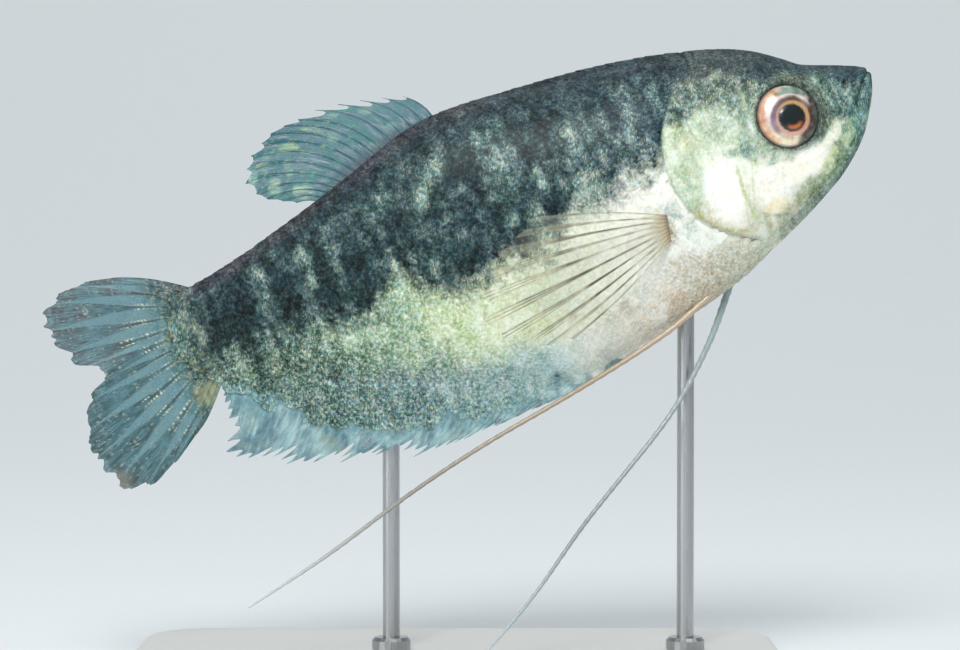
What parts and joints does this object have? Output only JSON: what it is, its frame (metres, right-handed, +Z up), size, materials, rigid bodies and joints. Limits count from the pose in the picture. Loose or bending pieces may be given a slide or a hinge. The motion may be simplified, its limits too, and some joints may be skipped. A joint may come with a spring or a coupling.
{
  "type": "model fish on display stand",
  "caption": "Life-size three spot gourami, nose raised, with thread-like pelvic feelers trailing under it, held over a flat base by thin rods.",
  "frame": {"origin": "on the floor, in the middle of the whole model's footprint, under the base", "axes": "+X towards the fish's nose end, +Y to the fish's left side, +Z up; the fish's own axis rises 20.8 degrees towards +X"},
  "size_m": [0.1066, 0.054, 0.0826],
  "materials": {
    "skin_head": "wet fish skin, slate grey above and silver green below",
    "skin_flank": "small overlapping scales, dark slate marbling over silver and pale yellow green",
    "skin_gill_cover": "smooth silvery skin with green and gold flecks",
    "fin_membrane": "thin translucent membrane over fine dark rays, with pale spots",
    "eye": "clear wet eye with a silver pink iris, a copper ring and a dark pupil",
    "feeler": "smooth thread of skin, pale grey to beige",
    "stand_lacquer": "satin pale grey lacquer",
    "stand_steel": "brushed stainless steel rod"
  },
  "bodies": {
    "root": {"head": "skin_head", "lower_jaw": "skin_head", "gill_cover_right": "skin_gill_cover", "gill_cover_left": "skin_gill_cover", "torso": "skin_flank", "tail_stalk": "skin_flank", "eye_right": "eye", "eye_left": "eye", "dorsal_fin": "fin_membrane", "anal_fin": "fin_membrane", "caudal_fin": "fin_membrane", "pectoral_fin_right": "fin_membrane", "pectoral_fin_left": "fin_membrane", "feeler_right_root": "feeler", "feeler_right_tip": "feeler", "feeler_left_root": "feeler", "feeler_left_tip": "feeler", "stand_base": "stand_lacquer", "stand_rod_front": "stand_steel", "stand_rod_rear": "stand_steel"}
  },
  "joints": []
}
